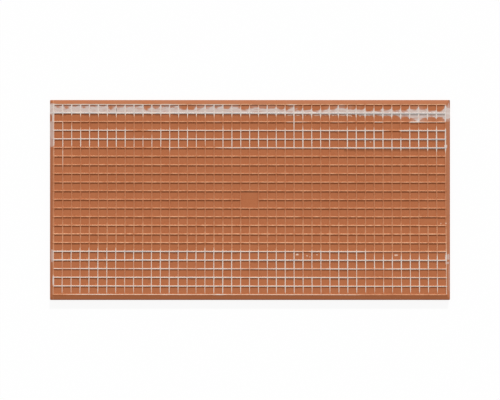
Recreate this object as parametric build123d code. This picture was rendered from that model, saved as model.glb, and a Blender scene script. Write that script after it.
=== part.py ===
from build123d import *
from math import radians, tan
import os

# Ceramic wall tile, pressed and fired as one piece, in millimetres.
# It lies as it would on a level floor: glazed face down on z = 0, ribbed back up.
# X runs along the length, Y across the width. The origin is the centre of the glazed face.

# Outer size
TILE_LENGTH = 500.0
TILE_WIDTH = 250.0
TILE_THICKNESS = 8.5
CORNER_RADIUS = 1.0
FACE_EDGE_RADIUS = 0.8

# Back: upright edge walls, then a bevel at one angle that rises inwards to the outermost ribs.
# The lattice is pressed a little off centre, so the bevel is widest and its wall lowest on the -Y side.
BEVEL_ANGLE = 18.0
BORDER_STEP = 0.4

# Keying ribs: a lattice pressed into the back, each rib narrower at its top than at its foot
CELLS_X = 44
CELLS_Y = 22
PITCH_X = 11.12
PITCH_Y = 10.8
GRID_OFFSET_X = -0.45
GRID_OFFSET_Y = 0.6
RIB_HEIGHT = 1.0
RIB_TOP_WIDTH = 1.3
RIB_FOOT_WIDTH = 2.2

# Bare panels, where the ribs inside a block of cells are left out.
# Each is its first column from the left, first row from the +Y edge, columns wide, rows high.
CENTRE_PANEL = (21, 10, 2, 2)
SIDE_PANEL = (41, 13, 2, 1)
PANELS = (CENTRE_PANEL, SIDE_PANEL)

FLOOR_HEIGHT = TILE_THICKNESS - RIB_HEIGHT
BEVEL_TOP = TILE_THICKNESS - BORDER_STEP
RIB_DRAFT = (RIB_FOOT_WIDTH - RIB_TOP_WIDTH) / 2 / RIB_HEIGHT
LATTICE_LENGTH = CELLS_X * PITCH_X + RIB_TOP_WIDTH
LATTICE_WIDTH = CELLS_Y * PITCH_Y + RIB_TOP_WIDTH


def frustum(length, width, low_z, high_z, spread):
    """A block of this top size with flat sides that spread outwards, each by this much, to its foot."""
    depth = high_z - low_z
    foot_length = length + 2 * spread
    foot_width = width + 2 * spread
    block = Wedge(foot_length, depth, foot_width, spread, spread, spread + length, spread + width)
    return Pos(0, 0, (low_z + high_z) / 2) * Rot(90, 0, 0) * block


def blank():
    """The pressed blank: upright edges, a bevelled back and a softened edge round the face."""
    step_spread = BORDER_STEP * RIB_DRAFT
    plateau = frustum(LATTICE_LENGTH, LATTICE_WIDTH, BEVEL_TOP, TILE_THICKNESS, step_spread)
    bevel = frustum(
        LATTICE_LENGTH + 2 * step_spread,
        LATTICE_WIDTH + 2 * step_spread,
        0,
        BEVEL_TOP,
        BEVEL_TOP / tan(radians(BEVEL_ANGLE)),
    )
    pressed = Pos(GRID_OFFSET_X, GRID_OFFSET_Y, 0) * (plateau + bevel)
    outline = RectangleRounded(TILE_LENGTH, TILE_WIDTH, CORNER_RADIUS)
    body = pressed & extrude(outline, TILE_THICKNESS)
    face_edges = body.faces().sort_by(Axis.Z)[0].edges()
    return fillet(face_edges, FACE_EDGE_RADIUS)


def hollow(column, row, columns=1, rows=1):
    """The drafted pocket between the ribs round a block of cells, narrowest at its floor."""
    length = columns * PITCH_X
    width = rows * PITCH_Y
    x = GRID_OFFSET_X + (column - CELLS_X / 2) * PITCH_X + length / 2
    y = GRID_OFFSET_Y + (CELLS_Y / 2 - row) * PITCH_Y - width / 2
    mouth_length = length - RIB_TOP_WIDTH
    mouth_width = width - RIB_TOP_WIDTH
    spread = -RIB_HEIGHT * RIB_DRAFT
    return Pos(x, y, 0) * frustum(mouth_length, mouth_width, FLOOR_HEIGHT, TILE_THICKNESS, spread)


def in_panel(column, row):
    return any(
        first_column <= column < first_column + columns and first_row <= row < first_row + rows
        for first_column, first_row, columns, rows in PANELS
    )


cells = [
    (column, row) for row in range(CELLS_Y) for column in range(CELLS_X) if not in_panel(column, row)
]
hollows = [hollow(*place) for place in (*cells, *PANELS)]
tile_body = blank() - hollows

os.makedirs("parts", exist_ok=True)
export_step(tile_body, "parts/tile_body.step")
print(f"tile_body: {len(hollows)} hollows, {tile_body.volume / 1000:.1f} cm3")
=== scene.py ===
import math

import bpy
import numpy as np
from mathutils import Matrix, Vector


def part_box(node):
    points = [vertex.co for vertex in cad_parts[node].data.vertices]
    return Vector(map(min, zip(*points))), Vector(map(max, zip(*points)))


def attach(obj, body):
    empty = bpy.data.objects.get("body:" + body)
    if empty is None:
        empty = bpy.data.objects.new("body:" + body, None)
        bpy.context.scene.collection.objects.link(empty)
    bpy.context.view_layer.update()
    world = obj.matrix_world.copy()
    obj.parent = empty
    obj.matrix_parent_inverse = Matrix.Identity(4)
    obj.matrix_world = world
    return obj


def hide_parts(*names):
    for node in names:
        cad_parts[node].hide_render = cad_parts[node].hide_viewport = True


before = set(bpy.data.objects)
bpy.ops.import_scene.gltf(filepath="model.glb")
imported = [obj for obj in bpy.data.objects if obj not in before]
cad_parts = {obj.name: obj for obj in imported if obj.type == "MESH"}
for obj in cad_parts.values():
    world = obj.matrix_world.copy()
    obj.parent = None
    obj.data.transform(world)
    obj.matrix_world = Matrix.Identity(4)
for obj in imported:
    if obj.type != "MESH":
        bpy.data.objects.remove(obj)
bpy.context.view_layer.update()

# The tile lies glazed face down, ribbed back up. Lengths here are in millimetres until a mesh,
# a lamp or the camera is made. Columns count the upright ribs from the left and rows count the
# level ribs from the far (+Y) edge, so that whole numbers are rib centres.
MM = 0.001
TILE_LOW, TILE_HIGH = (np.array(corner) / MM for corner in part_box("tile_body"))
TOP = TILE_HIGH[2]

# The back as pressed, as in the part's source. The step up to the outer ribs is worn to half.
PITCH_X, PITCH_Y = 11.12, 10.8
CELLS_X, CELLS_Y = 44, 22
GRID_OFFSET_X, GRID_OFFSET_Y = -0.45, 0.6
RIB_HEIGHT = 1.0
BEVEL_SLOPE = math.tan(math.radians(18))
BORDER_STEP = 0.2
CORNER_RADIUS = 1.0
BARE_PANELS = ((21, 10, 2, 2), (41, 13, 2, 1))

# A rib's worn section: its rise, as a share of its height, by distance from its centre.
# The bevel starts a little outside the outermost ribs.
RIB_STEPS = (0.4, 0.68, 1.1)
RIB_RISE = (1.0, 0.9, 0.0)
RIB_WEAR = 0.05
BEVEL_START = 0.83
EDGE_INSET = 0.5

# What is left to chance is drawn from this seed
SEED = 11

# The clay's grain on the ribs: how high it is, and how far below their tops it ends
GRAIN_HEIGHT = 0.02
GRAIN_DEPTH = 0.3

# How far the finish reaches past the outermost ribs, and how fast it fades, in columns or rows
FINISH_MARGIN = 0.1
FINISH_FADE = 0.02

# Glaze on the ribs: how thick, how wide a line's soft edge is, how narrow a line has to be to be
# thin as well, and how much lines vary in width, with a turn at each so many columns or rows
GLAZE_THICKNESS = 0.08
GLAZE_EDGE = 0.3
GLAZE_NARROW = 0.4
GLAZE_VARIATION = 0.12
GLAZE_TURNS = 0.5

# The glaze on the level ribs sags towards -Y, by so much more at each column to the right, more
# on the first rib and less on the last. On the lower band's upright ribs it lies a little to the
# left, most at the left end and less by so much at each column.
GLAZE_SAG = 0.009
FIRST_SAG = 0.25
LAST_SAG = -0.25
GLAZE_LEAN = -0.5
LEAN_EASE = 0.009
LOWER_BAND_START = 16.2

# Level ribs 0 and 1 are worn lower than the rest, in millimetres at some columns, and this far
# to each side, in rows
WORN_LEVEL = {0: ((10, 0.22), (30, 0.17)), 1: ((2, 0.1), (10, 0.3), (34, 0.42))}
WORN_REACH = 0.3

# The lattice as fired is a little out of true, in millimetres. Away from the left end level
# rib 1, and half as much rib 2, bends towards -Y. All level ribs tilt slightly, and the upright
# ribs stand closer together at the far edge and wider apart at the near one. The shift ends at
# the tile's edge, over the last so many millimetres.
BEND_BY_ROW = ((0.6, 0.0), (0.85, 0.2), (1.3, 0.2), (1.75, 0.1), (2.25, 0.1), (2.6, 0.0))
BEND_BY_COLUMN = ((2, 0.0), (8, 0.8), (26, 0.8), (34, 1.0))
TILT = ((4, -0.12), (14, 0.0), (24, 0.05), (34, 0.17))
SKEW = (
    (2, ((0, 0.25), (12, 0.35), (22, 0.0), (30, -0.4), (38, -0.4), (44, -0.2))),
    (11, ((0, 0.2), (10, 0.2), (18, 0.0), (40, 0.0), (44, 0.1))),
    (16, ((0, -0.1), (12, 0.0), (30, 0.0), (38, 0.15), (44, 0.8))),
    (22, ((0, -0.25), (8, -0.1), (20, 0.05), (30, 0.4), (36, 0.6), (44, 1.2))),
)
TRUE_EDGE = 4.2

RIBS_X = GRID_OFFSET_X + (np.arange(CELLS_X + 1) - CELLS_X / 2) * PITCH_X
RIBS_Y = GRID_OFFSET_Y + (CELLS_Y / 2 - np.arange(CELLS_Y + 1)) * PITCH_Y


def column_of(x):
    return (x - RIBS_X[0]) / PITCH_X


def row_of(y):
    return (RIBS_Y[0] - y) / PITCH_Y


def to_nearest(position, pitch, shift=0.0):
    """Distance in millimetres from the nearest whole column or row, or from a line beside it."""
    return np.abs((position - np.round(position)) * pitch - shift)


# Glaze on the level ribs, from left to right: pairs of a column and how wide the line is there
LEVEL_GLAZE = {
    0: ((0, 1.2), (1.5, 0.9), (2.5, 1.2), (6, 1.1), (7.4, 0.7), (8.4, 1.15), (9.8, 1.1), (10.5, 0.8),
        (11.5, 0.85), (12.5, 1.2), (13.4, 1.2), (14.5, 0.6), (15.4, 0.5), (16.5, 0.85), (18.5, 1.1),
        (19.5, 0.8), (20.6, 0.8), (21, 0.2), (26.3, 0.2), (26.4, 1.2), (27.2, 0.9), (27.5, 0.15),
        (32, 0.15), (32.2, 0.8), (32.7, 0.7), (32.8, 0.15), (44, 0.15)),
    1: ((0, 1.8), (24, 1.8), (29, 1.75), (31, 1.9), (33, 2.2), (38, 2.2), (41, 2.0), (44, 1.8)),
    2: ((0, 0.8), (0.9, 0.8), (1.1, 0.3), (1.9, 0.4), (2.1, 0.5), (3, 0.4), (3.3, 0.0), (17.8, 0.0),
        (18, 0.6), (18.8, 0.4), (19, 0.0), (26, 0.0), (26.2, 0.8), (28.5, 0.6), (29.2, 0.0),
        (31, 0.0), (31.3, 0.5), (33.6, 0.4), (34, 0.0), (35.9, 0.0), (36.1, 0.9), (37, 0.7),
        (37.2, 0.0), (39.8, 0.0), (40.2, 1.7), (40.9, 1.5), (41.2, 0.8), (44, 0.6)),
    3: ((0, 1.2), (7.8, 1.1), (8.8, 0.6), (9.3, 0.25), (10.2, 0.4), (10.8, 1.15), (25, 1.15), (35, 1.5),
        (36.9, 1.3), (37.3, 0.7), (37.7, 0.5), (37.9, 0.0), (38.8, 0.0), (39.0, 1.6), (44, 1.5)),
    4: ((0, 1.3), (28, 1.2), (34, 1.5), (35, 1.8), (36.5, 1.7), (37.5, 1.4), (39, 1.7), (44, 1.7)),
    5: ((0, 0.5), (0.9, 0.4), (1.2, 0.2), (12.8, 0.2), (13.1, 0.7), (14.6, 0.7), (15, 0.2),
        (17.8, 0.2), (18.3, 0.6), (20, 1.05), (31, 1.15), (32.6, 1.1), (33, 1.7), (44, 1.9)),
    17: ((0, 1.4), (8, 1.7), (22, 1.6), (24, 1.2), (27.4, 1.2), (28, 0.6), (28.6, 0.7), (29, 1.5),
         (34.6, 1.6), (35, 0.85), (37, 0.65), (44, 0.65)),
    18: ((0, 1.35), (5, 1.5), (12, 1.65), (16, 1.5), (26, 1.7), (32, 1.5), (44, 1.65)),
    20: ((0, 1.1), (4, 1.35), (8, 1.3), (19.5, 1.65), (21, 1.3), (21.4, 0.9), (23, 1.4), (26, 1.7),
         (28, 1.3), (33, 1.5), (34.2, 0.9), (37, 0.7), (39, 1.15), (41, 1.0), (44, 0.95)),
    21: ((0, 1.15), (22, 1.3), (28, 1.45), (34, 1.2), (44, 1.15)),
    22: ((0, 0.0), (1, 0.2), (2.0, 0.75), (5.6, 0.95), (8, 0.65), (14.4, 0.8), (17.6, 0.65), (18.4, 1.2),
         (19.4, 0.75), (33.6, 0.75), (35.5, 0.3), (44, 0.3)),
}

# The roller that glazed the lower band pressed harder at every seventh upright rib. It shows on
# level rib 19 too, whose line has a least width and is wider by so much where it pressed most.
ROLLER_PERIOD = 7.0
ROLLER_PEAK = 5.0
ROLLER_RIB = 19
ROLLER_LEAST = 0.8
ROLLER_GAIN = 0.65
# How far the lines on the level ribs reach past the outermost upright ribs, and over how much
# they come to their full width, in columns
LINE_OVERRUN = 0.08
LINE_ONSET = 0.01

# Upper band of glaze on the upright ribs: where its tail starts, where it is full, where it
# ends, and how wide it is. The usual values come first, then those of the odd ribs out. Past one
# rib all lines are wider by so much, and every start is moved by chance, at most so many rows.
UPPER_BAND = (2.5, 3.0, 4.88, 1.12)
UPPER_WIDER_PAST = 32
UPPER_WIDER = 1.15
UPPER_LOOSE = 0.12
UPPER_ODD = {
    0: (3.7, 3.95, 4.75, 1.1),
    1: (1.9, 2.2, 4.9, 1.0),
    2: (2.0, 2.5, 4.85, 0.9),
    9: (3.2, 4.0, 4.9, 0.75),
    10: (3.3, 3.9, 4.9, 0.8),
    11: (3.1, 3.8, 4.9, 0.8),
    13: (2.0, 2.9, 5.3, 1.1),
    16: (2.7, 3.6, 4.9, 0.9),
    17: (2.6, 3.4, 4.8, 0.75),
    18: (2.7, 3.8, 4.8, 0.55),
    19: (2.0, 2.9, 4.9, 1.0),
    24: (2.8, 3.8, 4.95, 0.95),
    27: (1.9, 2.9, 5.0, 1.0),
    28: (2.2, 2.9, 5.0, 1.4),
    32: (3.4, 3.9, 4.6, 0.3),
    38: (3.9, 4.2, 5.1, 1.0),
    39: (3.6, 4.0, 5.2, 1.2),
    42: (2.6, 2.9, 5.1, 1.3),
    43: (2.4, 2.9, 5.2, 1.4),
    44: (2.7, 2.95, 5.1, 1.4),
}
# More glaze on some upright ribs: pairs of a row and how wide the line is there
MORE_UPRIGHT = {
    0: ((-0.1, 0.9), (1.0, 0.7), (3.8, 0.4), (5.3, 0.2), (5.6, 0.7), (5.9, 0.4), (6.2, 0.15), (9.1, 0.15),
        (9.3, 0.4), (9.6, 0.0)),
    1: ((4.8, 0.9), (5.0, 0.35), (5.3, 0.4), (5.5, 0.9), (6.3, 0.7), (7.4, 0.5), (7.6, 0.2), (8.3, 0.25),
        (9.6, 0.35), (9.8, 0.0)),
    12: ((5, 0.3), (6.5, 0.0)),
    27: ((0.9, 1.3), (1.9, 1.2), (2.4, 1.0), (3, 1.0)),
    28: ((0.9, 1.2), (1.75, 0.9), (1.85, 0.0)),
    33: ((0.9, 0.9), (1.9, 0.5), (2.0, 0.0)),
    13: ((5, 0.6), (6, 0.2), (7.5, 0.0)),
    43: ((5, 0.9), (5.8, 0.5), (7.8, 0.2), (8, 0.0)),
    44: ((5, 1.0), (6, 0.4), (8, 0.2), (13, 0.2), (16.8, 0.4)),
}
# How far a tail runs down from level rib 1, in rows, at some upright ribs, give or take so much
TAIL_LENGTH = ((12, 0.5), (14, 0.6), (26, 0.6), (27, 0.85))
TAIL_LOOSE = 0.15
# Lower band: where it usually starts, and by how much that is moved by chance, in rows
LOWER_START = 16.75
LOWER_LOOSE = 0.06
# Its width: the least and the full one in row 18; the least in row 19, how much it gains where
# the roller pressed, and how much less of that at each rib to the right; and the same two for
# the rows below. Each is wider or narrower by chance. Then the share that is left on a faint rib,
# and where the last row's glaze ends, at some upright ribs.
ROW_18_LEAST = ((0, 0.45), (16, 0.5), (30, 0.95), (40, 1.15))
ROW_18_MOST = 1.3
ROW_18_LOOSE = 0.12
ROW_19_LEAST = 0.3
ROW_19_GAIN = 0.75
ROW_19_EASE = 0.006
ROW_19_LOOSE = 0.1
LAST_ROWS_LEAST = 0.9
LAST_ROWS_GAIN = 0.35
LAST_ROWS_LOOSE = 0.12
FAINT_SHARE = 0.5
LOWER_END = ((30, 22.0), (38, 21.82))
# The ribs with a tail above the lower band, with a late start and with a faint row 20
TAILS_ABOVE_LOWER = (3, 4, 5, 6, 7, 17, 18)
LATE_IN_ROW_17 = range(36, 44)
FAINT_IN_ROW_20 = range(35, 40)
# The lower band on the outermost ribs: pairs of a row and how wide the line is there
LOWER_ODD = {
    0: ((16.8, 0.1), (17, 1.0), (17.9, 1.0), (18.2, 0.5), (19.0, 0.3), (19.8, 0.3), (19.9, 1.1), (20.8, 1.0),
        (21.0, 0.5), (22.0, 0.4)),
    44: ((16.8, 0.4), (17.4, 1.5), (18.1, 1.0), (18.6, 0.7), (20.0, 0.6), (21.9, 0.7), (22.0, 0.0)),
}

# The thin wash round level rib 1: how far it reaches, in rows, at some columns
WASH_ABOVE = (
    (-0.5, 1.1), (0.15, 0.85), (0.35, 0.74), (0.7, 0.9), (1.15, 0.72), (1.4, 0.55), (1.75, 0.8),
    (2.1, 0.9), (2.35, 0.8), (2.9, 0.95), (3.15, 0.8), (3.4, 0.68), (3.7, 0.9), (5.2, 0.86), (5.9, 0.9),
    (6.15, 0.6), (6.4, 0.45), (6.6, 0.66), (6.9, 0.72), (7.15, 0.6), (7.4, 0.64), (7.8, 0.85),
    (8.2, 0.7), (8.5, 0.85), (9.2, 0.8), (9.9, 0.9), (10.15, 0.5), (10.4, 0.42), (10.65, 0.52),
    (10.9, 0.75), (11.15, 0.66), (11.4, 0.55), (11.65, 0.64), (11.9, 0.82), (12.15, 0.68), (12.5, 0.84),
    (13.15, 0.66), (13.5, 0.84), (13.9, 0.86), (14.15, 0.5), (14.4, 0.44), (14.9, 0.4), (15.15, 0.46),
    (15.5, 0.4), (15.9, 0.6), (16.15, 0.6), (16.5, 0.62), (16.9, 0.8), (17.15, 0.6), (17.5, 0.74),
    (17.9, 0.86), (18.15, 0.56), (18.5, 0.76), (18.9, 0.84), (19.15, 0.5), (19.5, 0.56), (19.9, 0.72),
    (20.3, 0.76), (20.6, 0.74), (20.85, 0.5), (21.15, 0.38), (21.6, 0.5), (21.9, 0.46), (22.3, 0.74),
    (22.6, 0.74), (22.9, 0.56), (23.2, 0.62), (23.9, 0.56), (24.4, 0.6), (25.2, 0.56), (25.9, 0.44),
    (26.15, 0.34), (26.6, 0.64), (26.9, 0.7), (27.15, 0.36), (27.4, 0.54), (27.8, 0.36), (28.5, 0.42),
    (29.2, 0.32), (29.8, 0.22), (30.2, 0.4), (30.8, 0.5), (31.4, 0.48), (31.9, 0.58), (32.2, 0.7),
    (32.6, 0.7), (32.85, 0.4), (33.15, 0.48), (33.4, 0.62), (33.8, 0.4), (34.15, 0.38), (34.4, 0.56),
    (34.7, 0.36), (35.5, 0.24), (36.2, 0.3), (37.2, 0.38), (38.5, 0.36), (39.2, 0.28), (40, 0.48),
    (40.6, 0.5), (41.2, 0.56), (41.8, 0.42), (42.5, 0.32), (43.4, 0.22), (43.8, 0.38), (44, 0.78),
)
WASH_BELOW = (
    (-0.5, 0.06), (20, 0.08), (26, 0.12), (29, 0.16), (34.5, 0.2), (35.2, 0.3), (38.4, 0.32), (39, 0.5),
    (39.5, 0.38), (40.2, 0.56), (40.7, 0.95), (41.1, 1.0), (41.5, 0.6), (42.6, 0.42), (43.6, 0.5),
    (44, 0.75), (44.5, 0.8),
)
# How far it creeps along the upright ribs beyond that, above level rib 1 and below it
CREEP_ABOVE = ((0, 0.35), (20, 0.33), (26, 0.4), (38, 0.42), (40, 0.34), (44, 0.34))
CREEP_BELOW = ((0, 0.0), (19, 0.08), (26, 0.2), (30, 0.25), (44, 0.35))

# Smears and splashes, each a patch: column, row, half its width and height in columns and rows,
# and how strong it is
SMEARS = (
    (-0.22, 0.55, 0.28, 0.66, 0.8),
    (-0.09, 1.5, 0.13, 0.6, 0.75),
    (-0.2, 3.0, 0.24, 1.15, 0.62),
    (-0.22, 4.35, 0.24, 0.58, 0.45),
    (-0.17, 17.5, 0.17, 0.74, 0.5),
    (-0.03, 20.4, 0.1, 0.55, 0.75),
    (44.27, 1.05, 0.25, 0.66, 0.85),
    (44.35, 0.25, 0.05, 0.42, 0.6),
    (44.04, 4.86, 0.16, 0.2, 0.9),
    (44.0, 17.66, 0.12, 0.32, 0.85),
    (44.3, 17.62, 0.15, 0.34, 0.6),
    (44.15, 18.32, 0.24, 0.14, 0.5),
    (44.38, 20.1, 0.07, 1.6, 0.3),
)
SPLASHES = (
    (27.35, 17.36, 0.19, 0.1, 1.0), (28.45, 17.5, 0.11, 0.07, 0.9), (28.75, 17.62, 0.07, 0.05, 0.7),
    (29.55, 17.38, 0.09, 0.06, 0.9), (38.43, 17.42, 0.22, 0.1, 0.9), (35.6, 4.32, 0.09, 0.06, 0.8),
    (43.45, 13.75, 0.08, 0.05, 0.8), (44.0, 13.72, 0.1, 0.06, 0.8), (26.5, 1.23, 0.3, 0.05, 0.85),
    (27.45, 1.24, 0.25, 0.05, 0.85), (28.3, 1.22, 0.1, 0.05, 0.8), (29.5, 1.23, 0.36, 0.06, 0.75),
    (30.55, 1.21, 0.16, 0.04, 0.5), (31.4, 1.24, 0.17, 0.06, 0.8), (31.75, 1.23, 0.1, 0.05, 0.8),
    (32.45, 1.24, 0.35, 0.05, 0.85), (33.25, 1.24, 0.22, 0.07, 0.8), (33.45, 1.33, 0.1, 0.06, 0.7),
    (34.4, 1.23, 0.2, 0.05, 0.8), (34.45, 1.31, 0.07, 0.06, 0.7), (35.3, 1.19, 0.3, 0.05, 0.6),
)
# Dark patches, laid out in the same way: the first is painted shade on upright rib 7 in row 0, standing in
# for its glazed side in shadow, the second a dark spot off the lattice's far right corner
SCUFFS_AND_SHADE = ((7.02, 0.62, 0.05, 0.3, 0.6), (44.43, -0.42, 0.09, 0.1, 0.6))


def at_knots(position, knots, **ends):
    """Straight-line values between knots, each a place and a value."""
    return np.interp(position, *zip(*knots), **ends)


def ramp(position, start, end, fade):
    """1 between start and end, falling to 0 over the fade at each."""
    return np.clip((position - start) / fade + 0.5, 0, 1) * np.clip((end - position) / fade + 0.5, 0, 1)


def wander(position, spacing, rng):
    """A smooth random line from -1 to 1, with a knot at each spacing."""
    first, last = position.min(), position.max()
    knots = np.arange(first - spacing, last + 2 * spacing, spacing)
    return np.interp(position, knots, rng.uniform(-1, 1, len(knots)))


def coat(position, nearest, lines, rng):
    """How wide the glaze on the nearest rib is at each place along it."""
    width = np.zeros_like(position)
    for rib, knots in lines:
        mine = nearest == rib
        along = position[mine]
        line = at_knots(along, knots, left=0.0, right=0.0)
        line *= 1 + GLAZE_VARIATION * wander(along, GLAZE_TURNS, rng)
        width[mine] = np.maximum(width[mine], line)
    return width


def roller_press(column):
    """How hard the roller pressed at a column, from 0 to 1."""
    return 0.5 + 0.5 * math.cos(math.tau * (column - ROLLER_PEAK) / ROLLER_PERIOD)


def level_lines():
    """The lines of glaze on the level ribs: each a rib and its knots."""
    start, end = -LINE_OVERRUN, CELLS_X + LINE_OVERRUN
    lines = [(rib, ((start, 0.0), (start + LINE_ONSET, knots[0][1]), *knots, (end, knots[-1][1])))
             for rib, knots in LEVEL_GLAZE.items()]
    columns = range(CELLS_X + 1)
    rolled = [(column, ROLLER_LEAST + ROLLER_GAIN * roller_press(column + 0.5)) for column in columns]
    return lines + [(ROLLER_RIB, rolled)]


def tail_below_wash(rib, loose):
    """Glaze that ran down an upright rib from level rib 1."""
    length = at_knots(rib, TAIL_LENGTH) + TAIL_LOOSE * loose
    return (0.1, 0.5), (0.6, 0.8), (1.0, 1.3), (1.2, 1.1), (1.0 + length, 0.15)


def upper_band(rib, loose):
    """The upper band's line on an upright rib, with a thin tail above it."""
    start, full, end, width = UPPER_ODD.get(rib, UPPER_BAND)
    start += UPPER_LOOSE * loose
    width *= UPPER_WIDER if rib > UPPER_WIDER_PAST else 1.0
    return (start, 0.1), (full, width * 0.85), (4, width), (end, width), (end + 0.12, 0.0)


def lower_band(rib, loose):
    """The lower band's line on an upright rib, with the roller's rhythm from row 18 down."""
    press = roller_press(rib)
    least = at_knots(rib, ROW_18_LEAST)
    row_18 = least + (ROW_18_MOST - least) * press + ROW_18_LOOSE * loose[1]
    row_19 = ROW_19_LEAST + (ROW_19_GAIN - ROW_19_EASE * rib) * press + ROW_19_LOOSE * loose[2]
    last = LAST_ROWS_LEAST + LAST_ROWS_GAIN * press + LAST_ROWS_LOOSE * loose[3]
    row_20 = last * (FAINT_SHARE if rib in FAINT_IN_ROW_20 else 1.0)
    if rib in LATE_IN_ROW_17:
        start = [(17.1, 0.1), (17.45, 0.9)]
    elif rib in TAILS_ABOVE_LOWER:
        start = [(16.4, 0.4), (16.95, 1.0)]
    else:
        start = [(LOWER_START + LOWER_LOOSE * loose[0], 0.1), (16.95, 1.0)]
    end = at_knots(rib, LOWER_END)
    return start + [
        (17.9, 1.15), (18.2, row_18), (18.9, row_18), (19.1, row_19), (19.9, row_19), (20.1, row_20),
        (21.1, last * 0.9), (end - 0.2, last * 0.75), (end, 0.0),
    ]


def upright_lines(rng):
    """The lines of glaze on the upright ribs: each a rib and its knots."""
    lines = list(MORE_UPRIGHT.items())
    for rib in range(CELLS_X + 1):
        loose = rng.uniform(-1, 1, 6)
        if rib < CELLS_X:
            lines.append((rib, tail_below_wash(rib, loose[0])))
        lines.append((rib, upper_band(rib, loose[1])))
        lines.append((rib, LOWER_ODD.get(rib) or lower_band(rib, loose[2:])))
    return lines


# The mesh's lines across the border: how far the second lies from the edge, and how many follow.
# Then the lines across a floor: the finer count is for all columns and for rows with glaze.
SECOND_LINE = 0.35
BORDER_LINES = 2
FINER_LINES, PLAIN_LINES = 2, 1
GLAZED_ROWS = (*range(0, 5), *range(16, 22))


def grid_lines(ribs, floor_lines, low_edge, high_edge):
    """Where the mesh has lines across one axis: close together on ribs, sparse on floors."""
    ribs = np.sort(ribs)
    foot = RIB_STEPS[-1]
    steps = np.array([-step for step in RIB_STEPS[::-1]] + list(RIB_STEPS))
    lines = [ribs[:, None] + steps]
    for rib, following, count in zip(ribs[:-1], ribs[1:], floor_lines):
        lines.append(np.linspace(rib + foot, following - foot, count + 2)[1:-1])
    for edge, rib, side in ((low_edge, ribs[0] - foot, 1), (high_edge, ribs[-1] + foot, -1)):
        near_edge = edge + side * np.array([0.0, SECOND_LINE])
        lines += [near_edge, np.linspace(near_edge[-1], rib, BORDER_LINES + 2)[1:-1]]
    return np.sort(np.concatenate([np.ravel(line) for line in lines]))


def bare(columns, rows):
    """Where a panel leaves the ribs out."""
    inside = np.zeros(np.broadcast(columns, rows).shape, bool)
    margin_x, margin_y = RIB_STEPS[-1] / PITCH_X, RIB_STEPS[-1] / PITCH_Y
    for column, row, wide, high in BARE_PANELS:
        across = (columns > column + margin_x / 2) & (columns < column + wide - margin_x / 2)
        down = (rows > row + margin_y / 2) & (rows < row + high - margin_y / 2)
        inside |= across & down
    return inside


def bevel_height(x, y):
    """Height of the bevelled border, which falls away outside the lattice."""
    beyond_x = np.maximum(RIBS_X[0] - x, x - RIBS_X[-1])
    beyond_y = np.maximum(RIBS_Y[-1] - y, y - RIBS_Y[0])
    beyond = np.maximum(np.maximum(beyond_x, beyond_y) - BEVEL_START, 0)
    return TOP - BORDER_STEP - BEVEL_SLOPE * beyond


def back_height(x, y):
    """Height of the pressed back: bevelled border, hollows and ribs."""
    columns, rows = column_of(x), row_of(y)
    in_lattice = (columns > 0) & (columns < CELLS_X) & (rows > 0) & (rows < CELLS_Y)
    floor = TOP - RIB_HEIGHT
    level = np.where(in_lattice, floor, bevel_height(x, y))
    foot_x, foot_y = RIB_STEPS[-1] / PITCH_X, RIB_STEPS[-1] / PITCH_Y
    beside = (columns > -foot_x) & (columns < CELLS_X + foot_x)
    beside &= (rows > -foot_y) & (rows < CELLS_Y + foot_y)
    upright = np.interp(to_nearest(columns, PITCH_X), RIB_STEPS, RIB_RISE)
    flat = np.interp(to_nearest(rows, PITCH_Y), RIB_STEPS, RIB_RISE)
    rise = np.where(beside & ~bare(columns, rows), np.maximum(upright, flat), 0)
    wear = RIB_WEAR
    for rib, knots in WORN_LEVEL.items():
        wear = np.where(np.abs(rows - rib) < WORN_REACH, at_knots(columns, knots), wear)
    rib = floor + rise * (RIB_HEIGHT - wear)
    return np.where(rise > 0, np.maximum(level, rib), level)


def by_side(columns, rows, above, below):
    """Values laid out along level rib 1, for the side of it that each place is on."""
    return np.where(rows < 1, at_knots(columns, above), at_knots(columns, below))


def out_of_true(x, y, columns, rows):
    """How far the lattice is shifted to the right and towards -Y, with the tile's outline kept."""
    inner = TILE_HIGH - EDGE_INSET
    kept_x, kept_y = (np.clip((edge - np.abs(along)) / TRUE_EDGE, 0, 1) for edge, along in zip(inner, (x, y)))
    lines = [at_knots(columns, knots) for _, knots in SKEW]
    skew = lines[0]
    for (row, _), (following, _), line, next_line in zip(SKEW, SKEW[1:], lines, lines[1:]):
        skew = skew + np.clip((rows - row) / (following - row), 0, 1) * (next_line - line)
    bend = at_knots(rows, BEND_BY_ROW) * at_knots(columns, BEND_BY_COLUMN)
    return skew * kept_x, (bend + at_knots(columns, TILT)) * kept_y


def glaze_cover(width, distance):
    """How much of the glaze's thickness lies at a distance from the middle of a line this wide."""
    return np.clip((width / 2 - distance) / GLAZE_EDGE + 0.5, 0, 1) * np.clip(width / GLAZE_NARROW, 0, 1)


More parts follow.
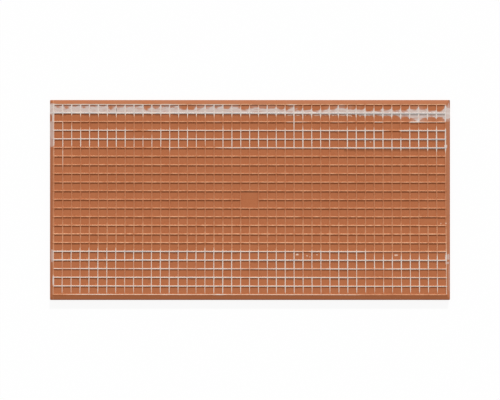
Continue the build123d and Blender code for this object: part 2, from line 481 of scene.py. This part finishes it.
def tile_grid():
    """The back's grid: places, heights and the finish that goes with each."""
    rng = np.random.default_rng(SEED)
    row_lines = [FINER_LINES if row in GLAZED_ROWS else PLAIN_LINES for row in range(CELLS_Y)][::-1]
    low_edge, high_edge = TILE_LOW + EDGE_INSET, TILE_HIGH - EDGE_INSET
    x_lines = grid_lines(RIBS_X, [FINER_LINES] * CELLS_X, low_edge[0], high_edge[0])
    y_lines = grid_lines(RIBS_Y, row_lines, low_edge[1], high_edge[1])
    x, y = np.meshgrid(x_lines, y_lines, indexing="ij")
    columns, rows = column_of(x), row_of(y)
    on_lattice = ramp(columns, -FINISH_MARGIN, CELLS_X + FINISH_MARGIN, FINISH_FADE)
    on_lattice *= ramp(rows, -FINISH_MARGIN, CELLS_Y + FINISH_MARGIN, FINISH_FADE)
    skew, bend = out_of_true(x, y, columns, rows)
    finish = {
        "level_glaze": coat(columns, np.round(rows), level_lines(), rng) * on_lattice,
        "upright_glaze": coat(rows, np.round(columns), upright_lines(rng), rng) * on_lattice,
        "wash": by_side(columns, rows, WASH_ABOVE, WASH_BELOW),
        "creep": by_side(columns, rows, CREEP_ABOVE, CREEP_BELOW),
        "ribbed": np.where(bare(columns, rows), 0.0, 1.0),
        "sag": GLAZE_SAG * columns + FIRST_SAG * (rows < 0.5) + LAST_SAG * (rows > CELLS_Y - 0.5),
        "lean": (GLAZE_LEAN + LEAN_EASE * columns) * (rows > LOWER_BAND_START),
        "skew": skew,
        "bend": bend,
    }
    on_level = glaze_cover(finish["level_glaze"], to_nearest(rows, PITCH_Y, finish["sag"]))
    on_upright = glaze_cover(finish["upright_glaze"], to_nearest(columns, PITCH_X, finish["lean"]))
    covered = np.maximum(on_level, on_upright) * ~bare(columns, rows)
    z = back_height(x, y) + covered * GLAZE_THICKNESS
    z += GRAIN_HEIGHT * rng.standard_normal(z.shape) * (z > TOP - GRAIN_DEPTH)
    return x + skew, y - bend, np.minimum(z, TOP), finish


def round_corners(x, y):
    """Pulls the plan corners of the grid in to an arc."""
    inner = (TILE_HIGH[:2] - TILE_LOW[:2]) / 2 - CORNER_RADIUS
    middle = (TILE_HIGH[:2] + TILE_LOW[:2]) / 2
    out_x, out_y = np.abs(x - middle[0]) - inner[0], np.abs(y - middle[1]) - inner[1]
    corner = (out_x > 0) & (out_y > 0)
    length = np.hypot(out_x, out_y)
    pull = np.where(corner, np.maximum(out_x, out_y) / np.where(corner, length, 1), 1)
    new_x = np.where(corner, np.sign(x) * (inner[0] + out_x * pull) + middle[0], x)
    new_y = np.where(corner, np.sign(y) * (inner[1] + out_y * pull) + middle[1], y)
    normal_x = np.where(corner, out_x / np.where(corner, length, 1), out_x >= out_y)
    normal_y = np.where(corner, out_y / np.where(corner, length, 1), out_y > out_x)
    return new_x, new_y, np.sign(x) * normal_x, np.sign(y) * normal_y


def perimeter(shape):
    """Grid places round the edge, anticlockwise seen from above."""
    wide, deep = shape
    places = [(i, 0) for i in range(wide - 1)]
    places += [(wide - 1, j) for j in range(deep - 1)]
    places += [(i, deep - 1) for i in range(wide - 1, 0, -1)]
    places += [(0, j) for j in range(deep - 1, 0, -1)]
    return np.array(places)


# Rings from the back's edge down the wall and round onto the face: how far in from the outline,
# and how far below the bevel's outer edge or, further down, above the face. The last are glazed.
ARRIS_RINGS = ((0.2, 0.0), (0.05, 0.15), (0.0, 0.45))
WALL_RINGS = ((0.0, 3.6), (0.0, 0.85), (0.1, 0.42), (0.34, 0.12), (0.8, 0.0), (1.4, 0.0))
GLAZED_RINGS = 3
# Faces no further than this from the floor of the hollows are shaded flat
FLAT_TO = 0.01
# The flat map's side, the margin round each half and the gap between the halves, in millimetres
MAP_SIDE = 526.0
MAP_MARGIN = 9.0
MAP_GAP = 2.0


def build_tile():
    """One closed mesh: the back's grid, the edge wall, the softened arris and the glazed face."""
    x, y, z, finish = tile_grid()
    x, y, normal_x, normal_y = round_corners(x, y)
    shape = x.shape
    index = np.arange(x.size).reshape(shape)
    grid = np.stack([x.ravel(), y.ravel(), z.ravel()], 1)
    quads = np.stack([index[:-1, :-1], index[1:, :-1], index[1:, 1:], index[:-1, 1:]], -1).reshape(-1, 4)
    around = perimeter(shape)
    edge = index[around[:, 0], around[:, 1]]
    normal = np.stack([normal_x, normal_y], -1)[around[:, 0], around[:, 1]]
    outline = grid[edge, :2] + normal * EDGE_INSET
    edge_height = bevel_height(*outline.T)
    rings = [(inset, edge_height - drop) for inset, drop in ARRIS_RINGS]
    rings += [(inset, np.full(len(edge), height)) for inset, height in WALL_RINGS]
    vertices, faces, flat_map = [grid], [quads], [grid[:, :2]]
    above, run_down, last_inset, last_height = edge, 0.0, EDGE_INSET, grid[edge, 2]
    for inset, height in rings:
        ring = np.arange(len(edge)) + sum(map(len, vertices))
        vertices.append(np.column_stack([outline - normal * inset, height]))
        faces.append(np.stack([above, np.roll(above, -1), np.roll(ring, -1), ring], 1)[:, ::-1])
        run_down += np.hypot(inset - last_inset, height - last_height).mean()
        flat_map.append(grid[edge, :2] + normal * run_down)
        above, last_inset, last_height = ring, inset, height
    vertices, flat_map = np.concatenate(vertices), np.concatenate(flat_map)
    side_faces = np.concatenate(faces)
    mesh = bpy.data.meshes.new("fired_tile")
    mesh.from_pydata((vertices * MM).tolist(), [], side_faces.tolist() + face_strips(above.tolist(), shape))
    slots = np.zeros(len(mesh.polygons), np.int32)
    slots[len(side_faces) - GLAZED_RINGS * len(edge):] = 1
    mesh.polygons.foreach_set("material_index", slots)
    smooth = np.ones(len(slots), bool)
    smooth[: len(quads)] = np.abs(z.ravel()[quads] - (TOP - RIB_HEIGHT)).max(1) > FLAT_TO
    mesh.polygons.foreach_set("use_smooth", smooth)
    add_map(mesh, vertices, flat_map, len(side_faces) - len(edge))
    for name, values in finish.items():
        held = np.zeros(len(vertices), np.float32)
        held[: grid.shape[0]] = values.ravel()
        mesh.attributes.new(name, "FLOAT", "POINT").data.foreach_set("value", held)
    mesh.validate()
    return mesh


def face_strips(ring, shape):
    """Strips across the flat face, from the near side of the last ring to its far side."""
    wide, deep = shape[0] - 1, shape[1] - 1
    near, right = ring[: wide + 1], ring[wide: wide + deep + 1]
    far, left = ring[wide + deep: 2 * wide + deep + 1][::-1], ring[2 * wide + deep:] + ring[:1]
    strips = [[near[i], far[i], far[i + 1], near[i + 1]] for i in range(1, wide - 1)]
    return strips + [left[::-1] + [far[1], near[1]], right[::-1] + [near[wide - 1], far[wide - 1]]]


def add_map(mesh, vertices, flat_map, first_flat_face):
    """A flat map with the back and edge wall in one half and the glazed face in the other."""
    corner = np.empty(len(mesh.loops), np.int32)
    mesh.loops.foreach_get("vertex_index", corner)
    starts = np.empty(len(mesh.polygons), np.int32)
    mesh.polygons.foreach_get("loop_start", starts)
    half = TILE_HIGH[:2] + MAP_MARGIN
    back = (flat_map[corner] + half) / MAP_SIDE
    face = vertices[corner, :2] * (-1, 1) + half + (0, 2 * half[1] - MAP_MARGIN + MAP_GAP)
    on_face = np.arange(len(corner)) >= starts[first_flat_face]
    places = np.where(on_face[:, None], face / MAP_SIDE, back)
    mesh.uv_layers.new(name="OFBake").uv.foreach_set("vector", places.astype(np.float32).ravel())


class Nodes:
    """Writes the nodes of a material or a world as formulas. Every call gives an output socket."""

    def __init__(self, holder):
        holder.use_nodes = True
        self.holder = holder
        self.tree = holder.node_tree
        self.tree.nodes.clear()

    def add(self, kind, inputs=(), **settings):
        node = self.tree.nodes.new(kind)
        for setting, value in settings.items():
            setattr(node, setting, value)
        for socket, value in dict(inputs).items():
            self.put(node.inputs[socket], value)
        return node

    def put(self, socket, value):
        if isinstance(value, bpy.types.NodeSocket):
            self.tree.links.new(value, socket)
        else:
            socket.default_value = value

    def math(self, operation, *values, clamp=False):
        return self.add("ShaderNodeMath", enumerate(values), operation=operation, use_clamp=clamp).outputs[0]

    def attribute(self, name):
        return self.add("ShaderNodeAttribute", attribute_name=name).outputs["Fac"]

    def smooth(self, value, low, high, to_low=0.0, to_high=1.0):
        values = {"Value": value, "From Min": low, "From Max": high, "To Min": to_low, "To Max": to_high}
        return self.add("ShaderNodeMapRange", values, interpolation_type="SMOOTHSTEP").outputs[0]

    def mix(self, factor, first, second):
        node = self.add("ShaderNodeMix", data_type="RGBA")
        for socket, value in zip((0, 6, 7), (factor, first, second)):
            self.put(node.inputs[socket], value)
        return node.outputs[2]

    def noise(self, place, scale, detail=2.0, roughness=0.5):
        values = {"Vector": place, "Scale": scale, "Detail": detail, "Roughness": roughness}
        return self.add("ShaderNodeTexNoise", values).outputs["Fac"]

    def stretched(self, place, factors, turn=0.0):
        values = {"Vector": place, "Scale": factors, "Rotation": (0, 0, turn)}
        return self.add("ShaderNodeMapping", values).outputs[0]

    def surface(self, **values):
        named = {name.replace("_", " "): value for name, value in values.items()}
        shader = self.add("ShaderNodeBsdfPrincipled", named)
        self.add("ShaderNodeOutputMaterial", {"Surface": shader.outputs[0]})
        return self.holder


def rgb(red, green, blue):
    return (red, green, blue, 1.0)


# Finishes, and painted light and shade, as linear colours
CLAY = rgb(0.45, 0.152, 0.064)
CLAY_DARK = rgb(0.37, 0.11, 0.041)
CLAY_PALE = rgb(0.53, 0.20, 0.092)
# Painted shade for the shaded side below the level ribs
CLAY_PAINTED_SHADE = rgb(0.36, 0.095, 0.027)
# Pale dust, also a painted highlight on the ribs' lit side
CLAY_DUST_AND_HIGHLIGHT = rgb(0.76, 0.41, 0.24)
GLAZE_THIN = rgb(0.76, 0.53, 0.40)
GLAZE_USUAL = rgb(0.74, 0.64, 0.565)
GLAZE_THICK = rgb(0.57, 0.53, 0.505)
GLAZE_COOL = rgb(0.46, 0.53, 0.58)
WASH = rgb(0.61, 0.505, 0.46)
WASH_THICK = rgb(0.69, 0.635, 0.60)
# Dark patch colour, also used as painted shade on upright rib 7
SCUFF_AND_SHADE = rgb(0.1, 0.07, 0.055)
GRIME = rgb(0.25, 0.22, 0.18)
FACE_WHITE = rgb(0.82, 0.82, 0.80)
FACE_TONE = rgb(0.79, 0.79, 0.765)
FACE_PIT = rgb(0.62, 0.58, 0.53)

# Over how many millimetres the wash thins out to the left and right of an upright rib, how far
# from level rib 1 it ends, in rows, and which way its streaks run
CLIMB_LEFT, CLIMB_RIGHT = 1.4, 0.6
WASH_END = 0.97
STREAK_TURN = -0.6

# The fired clay hardly reflects
CLAY_SPECULAR = 0.05


def clay_colour(nodes, place, rows):
    """Fired red clay: mottled, paler in the lower rows, grainy, with a few dark and pale specks."""
    broad = nodes.noise(place, 55.0, 3.0)
    broad = nodes.math("ADD", broad, nodes.smooth(rows, 16.5, 18.0, 0.0, 0.12))
    grain = nodes.noise(place, 1100.0, 3.0, 0.7)
    colour = nodes.mix(nodes.smooth(broad, 0.3, 0.7, 0.0, 0.25), CLAY, CLAY_PALE)
    colour = nodes.mix(nodes.smooth(grain, 0.35, 0.7, 0.0, 0.35), colour, CLAY_DARK)
    specks = nodes.noise(place, 2300.0, 1.0)
    colour = nodes.mix(nodes.smooth(specks, 0.7, 0.78, 0.0, 0.6), colour, CLAY_DARK)
    return nodes.mix(nodes.smooth(specks, 0.3, 0.24, 0.0, 0.6), colour, CLAY_PALE)


def along_lattice(nodes, along, first, pitch, sign):
    """A place's column or row, and how many millimetres it is past the nearest whole one."""
    count = nodes.math("MULTIPLY", nodes.math("SUBTRACT", along, first * MM), sign / (pitch * MM))
    past = nodes.math("SUBTRACT", count, nodes.math("ROUND", count))
    return count, nodes.math("MULTIPLY", past, pitch)


def rib_coat(nodes, width, distance, ragged):
    """The line of glaze on a rib: narrow lines are also thin ones."""
    inside = nodes.math("SUBTRACT", nodes.math("MULTIPLY_ADD", width, 0.5, ragged), distance)
    return nodes.math("MULTIPLY", nodes.smooth(inside, -0.15, 0.15), nodes.smooth(width, 0.0, 0.8, 0.0, 0.95))


def patches(nodes, columns, rows, ragged, places, power):
    """The strongest of some patches with ragged edges; a higher power makes them squarer."""
    cover = 0.0
    for column, row, half_width, half_height, strength in places:
        across = nodes.math("DIVIDE", nodes.math("SUBTRACT", columns, column), half_width)
        down = nodes.math("DIVIDE", nodes.math("SUBTRACT", rows, row), half_height)
        far_across = nodes.math("POWER", nodes.math("ABSOLUTE", across), power)
        far_down = nodes.math("POWER", nodes.math("ABSOLUTE", down), power)
        reach = nodes.math("MULTIPLY_ADD", ragged, -3.0, nodes.math("ADD", far_across, far_down))
        cover = nodes.math("MAXIMUM", cover, nodes.smooth(reach, 1.3, 0.5, 0.0, strength))
    return cover


def wash_cover(nodes, place, rows, past_upright):
    """The streaky wash round level rib 1, and how thick it is where it climbs the upright ribs."""
    from_one = nodes.math("ABSOLUTE", nodes.math("SUBTRACT", rows, 1.0))
    near_band = nodes.math("LESS_THAN", from_one, WASH_END)
    streaks = nodes.noise(nodes.stretched(place, (0.3, 1.0, 1.0), STREAK_TURN), 420.0, 3.0, 0.6)
    streaks = nodes.math("SUBTRACT", streaks, 0.5)
    to_left = nodes.math("MULTIPLY", past_upright, -1 / CLIMB_LEFT)
    to_right = nodes.math("MULTIPLY", past_upright, 1 / CLIMB_RIGHT)
    climb = nodes.math("EXPONENT", nodes.math("MULTIPLY", nodes.math("MAXIMUM", to_left, to_right), -1.0))
    reach = nodes.math("MULTIPLY_ADD", climb, nodes.attribute("creep"), nodes.attribute("wash"))
    reach = nodes.math("MULTIPLY_ADD", streaks, 0.55, reach)
    inside = nodes.math("SUBTRACT", reach, from_one)
    film = nodes.smooth(inside, -0.06, 0.24, 0.0, 0.97)
    faint = nodes.smooth(nodes.attribute("wash"), 0.35, 0.75, 0.0, 0.25)
    cloudy = nodes.noise(nodes.stretched(place, (0.4, 1.0, 1.0), STREAK_TURN), 190.0, 2.0)
    uneven = nodes.math("MULTIPLY_ADD", streaks, 1.5, nodes.math("MULTIPLY_ADD", cloudy, 0.8, 0.62))
    cover = nodes.math("MULTIPLY", nodes.math("MAXIMUM", film, faint), uneven)
    cover = nodes.math("MINIMUM", nodes.math("MAXIMUM", cover, 0.0), 0.98)
    thick = nodes.math("MAXIMUM", nodes.smooth(climb, 0.2, 0.7), nodes.smooth(from_one, 0.15, 0.08, 0.0, 0.5))
    cover = nodes.math("MAXIMUM", cover, nodes.math("MULTIPLY", nodes.smooth(inside, 0.0, 0.15), thick))
    return nodes.math("MULTIPLY", cover, near_band), thick


def dust_and_highlight_amount(nodes, place, height, rows, past_level, from_upright, beyond):
    """Pale dust on the ribs' tops, most on the level ribs, on level rib 0 and beside the lower band. Kept off
    the level ribs' shaded side, it is partly a painted highlight on their lit side.
    """
    lifted = nodes.smooth(height, (TOP - 0.5) * MM, (TOP - 0.1) * MM)
    lifted = nodes.math("MULTIPLY", lifted, nodes.smooth(beyond, 0.065, 0.05))
    on_level = nodes.math("LESS_THAN", nodes.math("ABSOLUTE", past_level), from_upright)
    # None on the shaded side below a level rib, so that the pale colour also paints the lit side lighter
    in_lee = nodes.math("MULTIPLY", on_level, nodes.smooth(past_level, 0.35, 0.65))
    lifted = nodes.math("MULTIPLY", lifted, nodes.math("SUBTRACT", 1.0, in_lee))
    # Extra on level rib 0: partly a painted highlight on its lit edge
    outer = nodes.math("MULTIPLY", on_level, nodes.smooth(rows, 0.5, 0.2, 0.0, 0.35))
    amount = nodes.math("ADD", nodes.math("MULTIPLY_ADD", on_level, 0.28, 0.14), outer)
    lower = nodes.math("MULTIPLY", nodes.smooth(rows, 12.5, 14.5), nodes.smooth(rows, 18.0, 17.0))
    amount = nodes.math("MULTIPLY_ADD", lower, 0.22, amount)
    uneven = nodes.smooth(nodes.noise(place, 180.0, 3.0), 0.25, 0.75, 0.4, 1.6)
    return nodes.math("MULTIPLY", nodes.math("MULTIPLY", lifted, amount), uneven)


def outside_lattice(nodes, columns, rows):
    """How far outside the outermost ribs' middles a place is, in columns or rows."""
    across = nodes.math("ABSOLUTE", nodes.math("SUBTRACT", columns, CELLS_X / 2))
    down = nodes.math("ABSOLUTE", nodes.math("SUBTRACT", rows, CELLS_Y / 2))
    across = nodes.math("SUBTRACT", across, CELLS_X / 2)
    return nodes.math("MAXIMUM", across, nodes.math("SUBTRACT", down, CELLS_Y / 2))


def border_grime(nodes, place, rows, beyond):
    """A faint grey film on the bevelled border, but not along the near edge."""
    away = nodes.math("LESS_THAN", rows, CELLS_Y)
    amount = nodes.math("MULTIPLY", nodes.smooth(beyond, 0.05, 0.1, 0.0, 0.24), nodes.noise(place, 60.0, 3.0))
    return nodes.math("MULTIPLY", amount, away)


def border_tone(nodes, columns, rows, colour):
    """Painted shade along the outer edges at the sides and the near edge, where the rounded arris falls in
    shade, and a pale line at each side.
    """
    left = nodes.math("MULTIPLY", columns, -1.0)
    right = nodes.math("SUBTRACT", columns, CELLS_X)
    near = nodes.math("SUBTRACT", rows, CELLS_Y)
    # Painted shade on the rounded outer arris
    dark_left = nodes.smooth(left, 0.1, 0.16, 0.0, 0.5)
    dark_right = nodes.smooth(right, 0.39, 0.42)
    dark = nodes.math("MAXIMUM", dark_left, dark_right)
    dark = nodes.math("MAXIMUM", dark, nodes.smooth(near, 0.49, 0.51))
    colour = nodes.mix(dark, colour, CLAY_DARK)
    pale_left = nodes.smooth(left, 0.0, 0.04, 0.0, 0.2)
    pale_left = nodes.math("MULTIPLY", pale_left, nodes.smooth(left, 0.14, 0.1))
    pale_right = nodes.smooth(right, 0.29, 0.33, 0.0, 0.06)
    pale_right = nodes.math("MULTIPLY", pale_right, nodes.smooth(right, 0.42, 0.39))
    return nodes.mix(nodes.math("MAXIMUM", pale_left, pale_right), colour, CLAY_DUST_AND_HIGHLIGHT)


def clay_finish(nodes, place, columns, rows, height, past_level, from_upright):
    """The clay with its pale dust, which is also a painted highlight on the ribs' lit side, painted shade on
    the shaded side below the level ribs, and the border's film, pale lines and painted shade along its outer
    edges.
    """
    beyond = outside_lattice(nodes, columns, rows)
    dust_and_highlight = dust_and_highlight_amount(nodes, place, height, rows, past_level, from_upright, beyond)
    clay = nodes.mix(dust_and_highlight, clay_colour(nodes, place, rows), CLAY_DUST_AND_HIGHLIGHT)
    # Painted shade: the clay is darker on the shaded side below each level rib, deepening the lamp's shadow
    # there
    painted_lee_shade = nodes.math("MULTIPLY", nodes.smooth(past_level, 0.45, 0.8), nodes.smooth(past_level, 1.9, 1.1))
    painted_lee_shade = nodes.math("MULTIPLY", painted_lee_shade, nodes.smooth(beyond, 0.2, 0.1, 0.0, 0.7))
    painted_lee_shade = nodes.math("MULTIPLY", painted_lee_shade, nodes.attribute("ribbed"))
    clay = nodes.mix(painted_lee_shade, clay, CLAY_PAINTED_SHADE)
    clay = nodes.mix(border_grime(nodes, place, rows, beyond), clay, GRIME)
    return border_tone(nodes, columns, rows, clay)


def glaze_colour(nodes, place, rows, level, upright, only_film, thick):
    """The glaze's colour by how full a line is, where two lines cross, and in the thin film."""
    on_level = nodes.math("MULTIPLY", nodes.attribute("level_glaze"), level)
    on_upright = nodes.math("MULTIPLY", nodes.attribute("upright_glaze"), upright)
    fullest = nodes.math("MAXIMUM", on_level, on_upright)
    body = nodes.math("MULTIPLY_ADD", nodes.noise(place, 150.0, 2.0), 0.8, fullest)
    glaze = nodes.mix(nodes.smooth(body, 0.9, 1.45), GLAZE_THIN, GLAZE_USUAL)
    glaze = nodes.mix(nodes.smooth(body, 1.85, 2.2), glaze, GLAZE_THICK)
    thin_film = nodes.mix(thick, WASH, WASH_THICK)
    glaze = nodes.mix(nodes.smooth(only_film, 0.0, 0.3), glaze, thin_film)
    crossing = nodes.math("MULTIPLY", level, upright)
    crossing = nodes.math("MULTIPLY", crossing, nodes.smooth(rows, 1.5, 2.5, 0.2, 1.0))
    return nodes.mix(nodes.smooth(crossing, 0.2, 0.8, 0.0, 0.8), glaze, GLAZE_COOL)


def back_material():
    """The clay of the back, with the glaze, wash and smears on its ribs."""
    nodes = Nodes(bpy.data.materials.new("fired_clay"))
    place = nodes.add("ShaderNodeTexCoord").outputs["Object"]
    along_x, along_y, height = nodes.add("ShaderNodeSeparateXYZ", {"Vector": place}).outputs
    true_x = nodes.math("MULTIPLY_ADD", nodes.attribute("skew"), -MM, along_x)
    true_y = nodes.math("MULTIPLY_ADD", nodes.attribute("bend"), MM, along_y)
    columns, past_upright = along_lattice(nodes, true_x, RIBS_X[0], PITCH_X, 1)
    rows, past_level = along_lattice(nodes, true_y, RIBS_Y[0], PITCH_Y, -1)
    from_upright = nodes.math("ABSOLUTE", past_upright)
    from_leant = nodes.math("ABSOLUTE", nodes.math("SUBTRACT", past_upright, nodes.attribute("lean")))
    from_sagged = nodes.math("ABSOLUTE", nodes.math("SUBTRACT", past_level, nodes.attribute("sag")))

    edge_noise = nodes.noise(place, 420.0, 4.0, 0.6)
    ragged = nodes.math("MULTIPLY_ADD", edge_noise, 0.6, -0.3)
    level = rib_coat(nodes, nodes.attribute("level_glaze"), from_sagged, ragged)
    upright = rib_coat(nodes, nodes.attribute("upright_glaze"), from_leant, ragged)
    lines = nodes.math("MAXIMUM", level, upright)
    crumbled = nodes.math("MULTIPLY_ADD", nodes.noise(place, 1000.0, 2.0), 1.2, -0.6)
    spots = nodes.math("MAXIMUM", lines, patches(nodes, columns, rows, crumbled, SPLASHES, 2.0))
    wash, thick = wash_cover(nodes, place, rows, past_upright)
    film = nodes.math("MAXIMUM", wash, patches(nodes, columns, rows, ragged, SMEARS, 4.0))
    cover = nodes.math("MAXIMUM", spots, film)

    clay = clay_finish(nodes, place, columns, rows, height, past_level, from_upright)
    only_film = nodes.math("SUBTRACT", film, lines)
    glaze = glaze_colour(nodes, place, rows, level, upright, only_film, thick)
    colour = nodes.mix(cover, clay, glaze)
    # Dark patches: painted shade on upright rib 7 in row 0, and a dark spot
    colour = nodes.mix(patches(nodes, columns, rows, ragged, SCUFFS_AND_SHADE, 2.0), colour, SCUFF_AND_SHADE)

    grain = nodes.noise(place, 1400.0, 4.0, 0.65)
    rough = nodes.math("MULTIPLY_ADD", grain, 0.15, nodes.smooth(cover, 0.0, 1.0, 0.8, 0.45))
    relief = nodes.math("MULTIPLY_ADD", cover, 0.25, nodes.math("MULTIPLY", grain, 0.5))
    bump = nodes.add("ShaderNodeBump", {"Height": relief, "Strength": 0.35, "Distance": 0.00012})
    return nodes.surface(
        Base_Color=colour, Roughness=rough, Specular_IOR_Level=CLAY_SPECULAR, Normal=bump.outputs[0]
    )


def face_material():
    """The plain white glaze of the face, faintly rippled."""
    nodes = Nodes(bpy.data.materials.new("face_glaze"))
    place = nodes.add("ShaderNodeTexCoord").outputs["Object"]
    ripple = nodes.noise(place, 160.0, 2.0)
    tone = nodes.noise(place, 25.0, 2.0)
    colour = nodes.mix(nodes.smooth(tone, 0.3, 0.7, 0.0, 0.5), FACE_WHITE, FACE_TONE)
    pits = nodes.smooth(nodes.noise(place, 900.0, 1.0), 0.24, 0.18, 0.0, 0.35)
    colour = nodes.mix(pits, colour, FACE_PIT)
    rough = nodes.smooth(ripple, 0.3, 0.7, 0.09, 0.16)
    bump = nodes.add("ShaderNodeBump", {"Height": ripple, "Strength": 0.15, "Distance": 0.0002})
    return nodes.surface(Base_Color=colour, Roughness=rough, Normal=bump.outputs[0])


def make_tile():
    tile = bpy.data.objects.new("fired_tile", build_tile())
    bpy.context.scene.collection.objects.link(tile)
    tile.data.materials.append(back_material())
    tile.data.materials.append(face_material())
    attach(tile, "root")
    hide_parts("tile_body")


# Light: a lamp from beyond the far edge, a little to the right, and an even white surround
KEY_HEIGHT = math.radians(28)
KEY_TURN = math.radians(8)
KEY_SPREAD = math.radians(3)
KEY_SHARE = 0.48
WHITE = rgb(1, 1, 1)

# The floor: its half length in metres, how far it reaches in under the tile in millimetres, its
# colour and how much of its shade the camera sees
FLOOR_REACH = 4.0
FLOOR_OVERLAP = 0.9
FLOOR_COLOUR = rgb(0.95, 0.95, 0.95)
FLOOR_SHADE = 0.1


def make_light():
    lamp = bpy.data.lights.new("key", "SUN")
    lamp.energy = KEY_SHARE * math.pi / math.sin(KEY_HEIGHT)
    lamp.angle = KEY_SPREAD
    key = bpy.data.objects.new("key", lamp)
    key.rotation_euler = (math.radians(90) - KEY_HEIGHT, 0, math.pi - KEY_TURN)
    bpy.context.scene.collection.objects.link(key)

    nodes = Nodes(bpy.data.worlds.new("surround"))
    path = nodes.add("ShaderNodeLightPath").outputs
    seen = nodes.math("MAXIMUM", path["Is Camera Ray"], path["Is Glossy Ray"])
    seen = nodes.math("MAXIMUM", seen, path["Is Transmission Ray"])
    strength = nodes.math("MULTIPLY_ADD", seen, KEY_SHARE, 1 - KEY_SHARE)
    white = nodes.add("ShaderNodeBackground", {"Color": WHITE, "Strength": strength})
    nodes.add("ShaderNodeOutputWorld", {"Surface": white.outputs[0]})
    bpy.context.scene.world = nodes.holder


def make_floor():
    """A plain pale floor that the camera sees as white, with the tile's soft shadow.

    It is open under the tile's face, so that the two don't lie in one plane.
    """
    mesh = bpy.data.meshes.new("floor")
    around = [(-1, -1), (1, -1), (1, 1), (-1, 1)]
    opening = (TILE_HIGH[:2] - FLOOR_OVERLAP) * MM
    corners = [(FLOOR_REACH * x, FLOOR_REACH * y, 0) for x, y in around]
    corners += [(opening[0] * x, opening[1] * y, 0) for x, y in around]
    mesh.from_pydata(corners, [], [(i, (i + 1) % 4, (i + 1) % 4 + 4, i + 4) for i in range(4)])
    floor = bpy.data.objects.new("floor", mesh)
    bpy.context.scene.collection.objects.link(floor)
    nodes = Nodes(bpy.data.materials.new("floor"))
    path = nodes.add("ShaderNodeLightPath").outputs["Is Camera Ray"]
    paint = nodes.add("ShaderNodeBsdfDiffuse", {"Color": FLOOR_COLOUR}).outputs[0]
    glow = nodes.add("ShaderNodeEmission", {"Color": WHITE, "Strength": 1.0}).outputs[0]
    share = nodes.math("MULTIPLY", path, 1 - FLOOR_SHADE)
    shader = nodes.add("ShaderNodeMixShader", {0: share, 1: paint, 2: glow})
    nodes.add("ShaderNodeOutputMaterial", {"Surface": shader.outputs[0]})
    mesh.materials.append(nodes.holder)


# Camera: square on to the back, with the far edge at the top of the picture. The view is as
# wide as VIEW_WIDTH at VIEW_HEIGHT above the floor.
VIEW_WIDTH = 625.0
VIEW_HEIGHT = 6.6
LENS = 85.0
SENSOR = 36.0


def make_camera():
    lens = bpy.data.cameras.new("camera")
    lens.lens = LENS
    lens.sensor_width = SENSOR
    camera = bpy.data.objects.new("camera", lens)
    middle = (TILE_LOW + TILE_HIGH) / 2
    middle[2] = VIEW_HEIGHT + VIEW_WIDTH * LENS / SENSOR
    camera.location = middle * MM
    bpy.context.scene.collection.objects.link(camera)
    bpy.context.scene.camera = camera


make_camera()
make_light()
make_floor()
make_tile()

bpy.context.scene.view_settings.view_transform = "Standard"
